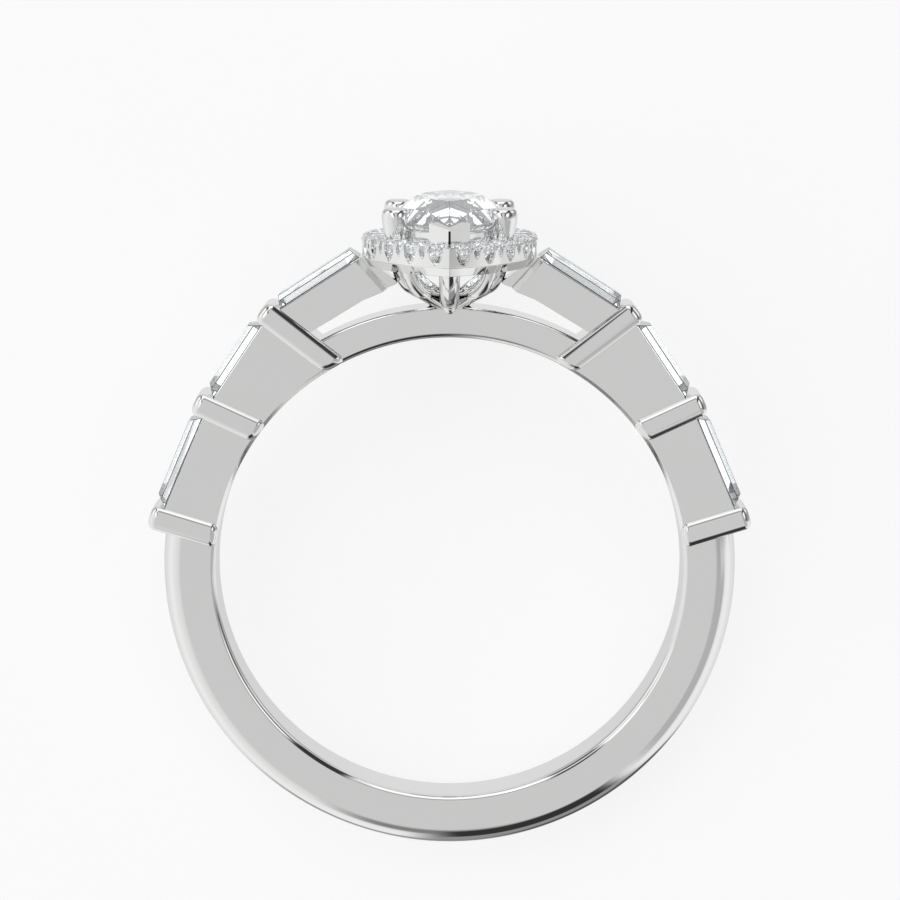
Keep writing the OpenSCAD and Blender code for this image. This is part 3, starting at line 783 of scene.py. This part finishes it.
# Gallery rail: a pointed-oval strip with a soft top edge just under the
# girdle of the centre stone, soldered between the prongs.
MARQUISE_L, MARQUISE_W = 8.0, 4.0
STONE_ARC_R, STONE_ARC_C = oval(MARQUISE_L / 2, MARQUISE_W / 2)
RAIL_INNER_R, RAIL_OUTER_R = STONE_ARC_R - 0.3, STONE_ARC_R - 0.02
RAIL_LOW, RAIL_TOP = 11.86, 12.19
RAIL_EDGES = [0.03, 0.05, 0.11, 0.05]
RAIL_STEPS = 60
rail_corners = [(RAIL_INNER_R, RAIL_LOW), (RAIL_OUTER_R, RAIL_LOW), (RAIL_OUTER_R, RAIL_TOP),
                (RAIL_INNER_R, RAIL_TOP)]
settle(oval_ring("gallery_rail", rounded(rail_corners, RAIL_EDGES), STONE_ARC_C, RAIL_STEPS), GOLD)

# End prongs: two plates that meet in a sharp fold and shield each point of
# the marquise. Below the girdle they lean in to pass inside the halo.
GIRDLE_Z, GIRDLE_T = 12.3, 0.06
CROWN_H, PAVILION_H = 0.79, 1.68
# Inset and height of the crown's corners between girdle and table
CROWN_MID = (0.26, 0.44)
TABLE_INSET = 0.84
# Room round the stone beside, below and above it
SPACE_SIDE, SPACE_BELOW, SPACE_ABOVE = 0.02, 0.1, 0.05
PLATE_HALF_W, PLATE_INNER_W = 0.69, 0.42
PLATE_OUTER_R, PLATE_INNER_R = STONE_ARC_R + 0.25, STONE_ARC_R - 0.14
PLATE_CORNER_R = STONE_ARC_R - 0.03
PLATE_LOW_OUTER_R, PLATE_LOW_INNER_R = STONE_ARC_R - 0.17, STONE_ARC_R - 0.5
# Heights of the plates' lower end, their bend and the fold's top, and the slope of the rim
PLATE_LOW, PLATE_BEND, PLATE_TOP = 11.6, 11.8, 12.28
PLATE_TOP_SLOPE = 17.7
PLATE_EDGE = 0.05
# The painted shade line in the fold, a dark line in metres on the lying ring,
# and the share of its half width that is fully dark
FOLD_HALF_W, FOLD_TOP, FOLD_FADE = 0.000045, 0.00943, 0.00003
FOLD_DARK = 0.7
FOLD_SHADE_TONE = (0.012, 0.012, 0.012, 1.0)


def paint_fold_shade(material):
    """Adds painted shade: a dark line down the fold in front, where shade falls in the crease."""
    tree = material.node_tree
    shader = tree.nodes["Principled BSDF"]
    tone = shader.inputs["Base Color"].links[0].from_socket
    place = add_node(tree, "ShaderNodeTexCoord").outputs["Object"]
    axes = add_node(tree, "ShaderNodeSeparateXYZ", {"Vector": place})
    across = add_node(tree, "ShaderNodeMath", {0: axes.outputs["X"]}, operation="ABSOLUTE")
    near = add_node(tree, "ShaderNodeMapRange", {
        "Value": across.outputs[0], "From Min": FOLD_HALF_W * FOLD_DARK, "From Max": FOLD_HALF_W,
        "To Min": 1.0, "To Max": 0.0})
    low = add_node(tree, "ShaderNodeMapRange", {
        "Value": axes.outputs["Y"], "From Min": FOLD_TOP - FOLD_FADE, "From Max": FOLD_TOP,
        "To Min": 1.0, "To Max": 0.0})
    both = add_node(tree, "ShaderNodeMath", {0: near.outputs["Result"], 1: low.outputs["Result"]},
                    operation="MULTIPLY")
    mix = add_node(tree, "ShaderNodeMix", {"Factor": both.outputs[0], "A": tone, "B": FOLD_SHADE_TONE},
                   data_type="RGBA")
    fill(shader, {"Base Color": mix.outputs["Result"]})
    return material


def stone_space():
    """The centre stone's space, a little larger than the stone."""
    r = STONE_ARC_R + SEAT_GAP
    girdle_top = GIRDLE_Z + GIRDLE_T
    section = [(STONE_ARC_C + SPACE_SIDE, GIRDLE_Z - PAVILION_H - SPACE_BELOW),
               (r, GIRDLE_Z - SEAT_GAP), (r, girdle_top + SEAT_GAP),
               (r - CROWN_MID[0] + SPACE_SIDE, girdle_top + CROWN_MID[1] + SEAT_GAP),
               (r - TABLE_INSET, girdle_top + CROWN_H + SPACE_ABOVE)]
    return loft("stone_space", [oval_row(r, STONE_ARC_C, z) for r, z in section])


def chevron(r_out, r_in, z_of, inner_w=PLATE_HALF_W, r_corner=None):
    """Outer and inner corner points of one end's plates, near end, where z_of gives their height.
    r_corner is the radius of the inner corners, if it is another than the inner fold's."""
    rows = []
    for half_w, r_mid, r_side in ((PLATE_HALF_W, r_out, r_out), (inner_w, r_in, r_corner or r_in)):
        row = []
        for x, r in ((-half_w, r_side), (0, r_mid), (half_w, r_side)):
            y = -sqrt(r * r - (abs(x) + STONE_ARC_C) ** 2)
            row.append((x, y, z_of(y)))
        rows.append(row)
    return rows[0] + rows[1][::-1]


def rim_height(y):
    """Height of the plates' sloping upper edge."""
    fold_y = -sqrt(PLATE_OUTER_R ** 2 - STONE_ARC_C ** 2)
    return PLATE_TOP + (y - fold_y) * tan(radians(PLATE_TOP_SLOPE))


plates = loft("end_prongs", [
    chevron(PLATE_LOW_OUTER_R, PLATE_LOW_INNER_R, lambda y: PLATE_LOW),
    chevron(PLATE_OUTER_R, PLATE_INNER_R, lambda y: PLATE_BEND, PLATE_INNER_W, PLATE_CORNER_R),
    chevron(PLATE_OUTER_R, PLATE_INNER_R, rim_height, PLATE_INNER_W, PLATE_CORNER_R)
])
cut_away(plates, stone_space())
# The end prongs' gold carries the painted shade line in the fold
GOLD_WITH_FOLD_SHADE = paint_fold_shade(white_gold("white_gold_painted_fold_shade"))
settle(mirrored(plates, NEAR_FAR), GOLD_WITH_FOLD_SHADE, edge=PLATE_EDGE, segments=3, angle=25)

# Round prongs: four barrel-shaped posts of white gold with rounded tops that
# are notched over the edge of the centre stone.
PRONG_X, PRONG_Y = 1.83, 2.05
PRONG_AROUND = 48
PRONG_EDGE = 0.02
# Radius and height, from the round top down
PRONG_PROFILE = [(0.16, 12.88), (0.3, 12.865), (0.375, 12.845), (0.42, 12.81), (0.455, 12.76), (0.475, 12.7),
                 (0.488, 12.6), (0.486, 12.48), (0.47, 12.34), (0.445, 12.2), (0.415, 12.05), (0.385, 11.92),
                 (0.37, 11.84)]
# Its lower end, below the halo's stones: radius, height, how far it leans in
PRONG_LEAN = [(0.34, 11.74, 0.1), (0.3, 11.62, 0.24), (0.27, 11.4, 0.36)]
PRONG_LEAN_X, PRONG_LEAN_Y = 1.05, 0.85

prong_rows = [circle(PRONG_X, PRONG_Y, z, r, PRONG_AROUND) for r, z in PRONG_PROFILE]
prong_rows += [circle(PRONG_X - back * PRONG_LEAN_X, PRONG_Y - back * PRONG_LEAN_Y, z, r, PRONG_AROUND)
               for r, z, back in PRONG_LEAN]
prong = loft("round_prongs", prong_rows)
cut_away(prong, stone_space())
settle(mirrored(prong, LEFT_RIGHT, NEAR_FAR), GOLD, edge=PRONG_EDGE, segments=2, angle=60)

# Stones: a brilliant-cut marquise in the middle, step-cut baguettes on the
# shoulders and small round brilliants in the halo, all clear and colourless.
# Each sits on its seat, held by the metal round it.
DIAMOND_IOR = 2.2
# Lower facets of the marquise: inset and depth as a share of the pavilion
PAVILION_MID = (1.1, 0.56)
# The stones' faint painted glow, and the painted shade tone of their rims
INNER_LIGHT = (0.95, 0.98, 1.0, 1.0)
RIM_SHADE_TINT = (0.4, 0.43, 0.44, 1.0)
# Tones and widths of the painted shade lines along the facets' edges
LINE_SHADE_TONE, LINE_SHADE_CLOUD = (0.02, 0.025, 0.03), (0.22, 0.25, 0.26)
MARQUISE_LINE, BAGUETTE_LINE, HALO_LINE = 0.006, 0.018, 0.003


def clear_stone(name, tint, cloud, glow):
    """Cut diamond: clear, with a faint play of cool tints inside, a faint painted glow, and a painted shade
    that greys it where it turns away.
    """
    material, tree, shader = new_material(name, tint, cloud, scale=700.0, detail=1.0)
    clouds = shader.inputs["Base Color"].links[0].from_socket
    slant = add_node(tree, "ShaderNodeLayerWeight", {"Blend": 0.5}).outputs["Facing"]
    rim = add_node(tree, "ShaderNodeMapRange", {"Value": slant, "From Min": 0.8, "From Max": 0.95})
    edge = add_node(tree, "ShaderNodeMix", {"Factor": rim.outputs["Result"], "A": clouds, "B": RIM_SHADE_TINT},
                    data_type="RGBA")
    fill(shader, {"Base Color": edge.outputs["Result"], "Transmission Weight": 1.0, "IOR": DIAMOND_IOR,
                  "Roughness": 0.0, "Emission Color": INNER_LIGHT, "Emission Strength": glow})
    return material


def painted_facet_shade():
    """Painted shade: the thin dark line along the edge between two facets."""
    material, tree, shader = new_material("painted_facet_shade", LINE_SHADE_TONE, LINE_SHADE_CLOUD, scale=900.0, detail=1.0)
    fill(shader, {"Roughness": 0.15})
    return material


def cut_points(inset, z, turns):
    """Corners of the marquise's facets, at turns of 0 to 1 from its middle to its points."""
    r = STONE_ARC_R - inset
    end = acos(STONE_ARC_C / r)
    right = [(r * cos(end * t) - STONE_ARC_C, r * sin(end * t)) for t in turns]
    return {(side * x, way * y, z) for x, y in right for side in (-1, 1) for way in (-1, 1)}


def marquise():
    """The centre stone as the hull of its corners, so that each facet is flat."""
    girdle = [k / 8 for k in range(9)]
    between = (0.25, 0.75)
    top = GIRDLE_Z + GIRDLE_T
    corners = cut_points(TABLE_INSET, top + CROWN_H, (0, 0.5, 1))
    corners |= cut_points(CROWN_MID[0], top + CROWN_MID[1], between)
    corners |= cut_points(0, top, girdle) | cut_points(0, GIRDLE_Z, girdle)
    corners |= cut_points(PAVILION_MID[0], GIRDLE_Z - PAVILION_H * PAVILION_MID[1], between)
    corners.add((0, 0, GIRDLE_Z - PAVILION_H))
    bm = bmesh.new()
    for corner in sorted(corners):
        bm.verts.new(corner)
    bmesh.ops.remove_doubles(bm, verts=bm.verts, dist=1e-4)
    hull = bmesh.ops.convex_hull(bm, input=bm.verts)
    inside = [v for v in hull["geom_interior"] if isinstance(v, bmesh.types.BMVert)]
    bmesh.ops.delete(bm, geom=inside, context="VERTS")
    bmesh.ops.dissolve_limit(bm, angle_limit=radians(0.5), verts=bm.verts, edges=bm.edges)
    mesh = bpy.data.meshes.new("marquise")
    bm.to_mesh(mesh)
    bm.free()
    mesh.transform(LAY_DOWN)
    return put_in_scene("marquise", mesh)


DIAMOND = clear_stone("diamond", tint=(0.985, 1.0, 1.0), cloud=(0.975, 0.98, 1.0), glow=0.06)
SMALL_DIAMOND = clear_stone("small_diamond", tint=(0.985, 1.0, 1.0), cloud=(0.95, 0.97, 0.99), glow=0.09)
FACET_SHADE_LINE = painted_facet_shade()


def dress_stone(stone, node, clear, line_w):
    """Draws the facets' edges as painted shade lines of line_w millimetres and makes the stone part of its
    node.
    """
    stone.data.materials.clear()
    stone.data.materials.append(clear)
    stone.data.materials.append(FACET_SHADE_LINE)
    weld = stone.modifiers.new("weld", "WELD")
    weld.merge_threshold = 0.000001
    bevel = stone.modifiers.new("facet_lines", "BEVEL")
    bevel.width = line_w / 1000
    bevel.segments = 1
    bevel.material = 1
    bevel.limit_method = "ANGLE"
    bevel.angle_limit = radians(12)
    plain_mesh(stone)
    stand_in(stone, node)


dress_stone(marquise(), "center_stone", DIAMOND, MARQUISE_LINE)
for name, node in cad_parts.items():
    if name.startswith(("baguette", "halo_stone")):
        stone = put_in_scene("stone_" + name, node.data.copy())
        stone.matrix_world = node.matrix_world
        if name.startswith("baguette"):
            dress_stone(stone, name, DIAMOND, BAGUETTE_LINE)
        else:
            dress_stone(stone, name, SMALL_DIAMOND, HALO_LINE)

# Floor: a plain pale board, lit from below as well as above, so that the
# shadows on it stay faint. Only the camera sees it, and the metal reflects the
# light tent instead. Its size is in metres.
FLOOR_HALF = 1
FLOOR_GLOW = 0.76
FLOOR_TONE, FLOOR_CLOUD = (0.29, 0.29, 0.29), (0.31, 0.31, 0.31)
corners = [(-FLOOR_HALF, -FLOOR_HALF, 0), (FLOOR_HALF, -FLOOR_HALF, 0), (FLOOR_HALF, FLOOR_HALF, 0),
           (-FLOOR_HALF, FLOOR_HALF, 0)]
board = shape("floor", corners, [(0, 1, 2, 3)])
pale, tree, shader = new_material("pale_board", FLOOR_TONE, FLOOR_CLOUD, scale=40.0, detail=3.0)
fill(shader, {"Roughness": 0.9, "Specular IOR Level": 0.1, "Emission Color": (1, 1, 1, 1),
              "Emission Strength": FLOOR_GLOW})
open_air = add_node(tree, "ShaderNodeBsdfTransparent")
seen = add_node(tree, "ShaderNodeLightPath").outputs["Is Camera Ray"]
blend = add_node(tree, "ShaderNodeMixShader", {0: seen, 1: open_air.outputs[0], 2: shader.outputs[0]})
fill(tree.nodes["Material Output"], {"Surface": blend.outputs[0]})
board.data.materials.append(pale)

# Light: a white tent round the ring, greyer behind the viewer, hung with light
# boxes and with grey and black cards that draw the tones along the polished
# edges. A small softbox from the left gives the stones their glints.
BACKDROP = 0.94
# Angle off the line back to the viewer, grey level there
TENT = [(0, 0.65), (18, 0.65), (35, 0.78), (66, 0.86), (91, 0.94), (120, 0.83), (137, 0.78),
        (155, 0.66), (172, 0.78)]
# Cards in the tent. Round is the way round that line: 0 above it, 90 to the right
# of it, 180 below it. Each has: round, half width, soft edge; off from, off to,
# soft edge; level.
CARDS = [
    ("grey inside right", 78, 28, 15, 12, 30, 6, 0.43),
    ("grey low right", 118, 16, 12, 20, 58, 10, 0.48),
    ("grey wing right", 80, 8, 9, 28, 100, 6, 0.4),
    ("grey beyond wing", 82, 8, 12, 106, 146, 8, 0.34),
    ("dark wing right", 80, 5, 5, 44, 72, 6, 0.14),
    ("grey foot", 166, 15, 8, 30, 140, 6, 0.3),
    ("grey foot left", -176, 8, 17, 32, 50, 18, 0.24),
    ("black foot", 165, 13, 6, 36, 78, 6, 0.035),
    ("black table edge", 163, 14, 8, 113, 130, 5, 0.08),
    ("dark table edge", -170, 12, 12, 115, 128, 6, 0.3),
    ("grey band overhead", 0, 24, 6, 30, 44, 5, 0.4),
    ("strip light overhead", 0, 20, 6, 52, 84, 6, 1.15),
    ("box light left, low", -62, 13, 6, 22, 38, 6, 1.05),
    ("gap left", -54, 7, 8, 54, 66, 8, 0.45),
    ("box light left, high", -60, 13, 6, 76, 96, 6, 1.1),
    ("grey beyond left", -60, 20, 12, 112, 140, 10, 0.48),
    ("box light right, low", 62, 12, 12, 32, 47, 6, 1.1),
    ("gap right", 66, 16, 6, 60, 80, 5, 0.14),
    ("box light right, high", 58, 12, 6, 88, 108, 6, 1.0),
    ("grey beyond right", 64, 16, 12, 118, 140, 8, 0.4),
    ("black flag left", -37, 6, 5, 16, 88, 8, 0.05),
    ("black flag right", 38, 7, 5, 20, 94, 8, 0.04),
    ("grey beyond overhead", 0, 46, 6, 98, 110, 6, 0.5),
]
# Through the stones the tent is seen lighter: its level times a share, and more
THROUGH_SHARE, THROUGH_MORE = 0.6, 1.0
# The softbox, in metres and watts
BOX_W, BOX_H, BOX_POWER = 0.12, 0.08, 0.02
BOX_AT = Vector((-0.09, 0.06, 0.16))
# The camera looks down along the finger by this much
TILT = radians(9.2475)

world = bpy.data.worlds.new("light_tent")
bpy.context.scene.world = world
world.use_nodes = True
tent = world.node_tree
tent.nodes.clear()


def calc(operation, a, b=0.0, c=0.0):
    """The result of a sum on the light's angles and levels."""
    return add_node(tent, "ShaderNodeMath", {0: a, 1: b, 2: c}, operation=operation).outputs[0]


def tent_level(angle):
    """The bare tent's grey level at an angle off the line to the viewer."""
    node = add_node(tent, "ShaderNodeValToRGB", {"Fac": calc("DIVIDE", angle, 180.0)})
    stops = node.color_ramp.elements
    while len(stops) < len(TENT):
        stops.new(1.0)
    for stop, (at, grey) in zip(stops, TENT):
        stop.position = at / 180
        stop.color = (grey, grey, grey, 1)
    return node.outputs["Color"]


def toward(level, mask, value):
    """Blends the level to a new value where the mask is 1."""
    mix = add_node(tent, "ShaderNodeMix", {"Factor": mask, "A": level, "B": value}, data_type="FLOAT")
    return mix.outputs["Result"]


def soft_edge(value, none, full):
    """A mask that rises from 0 to 1 as the value goes from none to full."""
    mask = add_node(tent, "ShaderNodeMapRange", {"Value": value, "From Min": none, "From Max": full},
                    interpolation_type="SMOOTHSTEP")
    return mask.outputs["Result"]


way = add_node(tent, "ShaderNodeTexCoord").outputs["Generated"]
upright = add_node(tent, "ShaderNodeVectorRotate", {"Vector": way, "Axis": (1, 0, 0), "Angle": -LAY},
                   rotation_type="AXIS_ANGLE")
axes = add_node(tent, "ShaderNodeSeparateXYZ", {"Vector": upright.outputs[0]})
back = calc("MULTIPLY_ADD", axes.outputs["Y"], -cos(TILT), calc("MULTIPLY", axes.outputs["Z"], -sin(TILT)))
over = calc("MULTIPLY_ADD", axes.outputs["Y"], -sin(TILT), calc("MULTIPLY", axes.outputs["Z"], cos(TILT)))
off = calc("DEGREES", calc("ARCCOSINE", back))
around = calc("DEGREES", calc("ARCTAN2", axes.outputs["X"], over))
level = tent_level(off)
for name, at, half, soft, near, far, soft_off, grey in CARDS:
    aside = calc("ABSOLUTE", calc("WRAP", calc("SUBTRACT", around, at), 180.0, -180.0))
    across = soft_edge(aside, half + soft, half)
    along = calc("MULTIPLY", soft_edge(off, near - soft_off, near), soft_edge(off, far + soft_off, far))
    level = toward(level, calc("MULTIPLY", across, along), grey)
light_path = add_node(tent, "ShaderNodeLightPath")
through = calc("MULTIPLY_ADD", level, THROUGH_SHARE, THROUGH_MORE)
level = toward(level, light_path.outputs["Is Transmission Ray"], through)
level = toward(level, light_path.outputs["Is Camera Ray"], BACKDROP)
glow = add_node(tent, "ShaderNodeBackground", {"Strength": level, "Color": (1, 1, 1, 1)})
add_node(tent, "ShaderNodeOutputWorld", {"Surface": glow.outputs[0]})

softbox = bpy.data.lights.new("softbox", "AREA")
softbox.shape = "RECTANGLE"
softbox.size = BOX_W
softbox.size_y = BOX_H
softbox.energy = BOX_POWER
lamp = put_in_scene("softbox", softbox)
lamp.location = BOX_AT
lamp.rotation_euler = (-BOX_AT).to_track_quat("-Z", "Y").to_euler()

# Camera: as in the photograph, level with the ring's foot and a little above
# the line of the finger, so that here it looks down on the lying ring.
EYE = Vector((0.015, -96.41, 19.85))
LENS, SENSOR = 110.42, 36
camera = bpy.data.cameras.new("camera")
camera.sensor_width = SENSOR
camera.lens = LENS
camera.clip_start = 0.001
eye = put_in_scene("camera", camera)
aim = Matrix.Rotation(LAY, 4, "X") @ Matrix.Rotation(pi / 2 - TILT, 4, "X")
eye.matrix_world = Matrix.Translation(LAY_DOWN @ EYE) @ aim
bpy.context.scene.camera = eye
bpy.context.scene.view_settings.view_transform = "Standard"
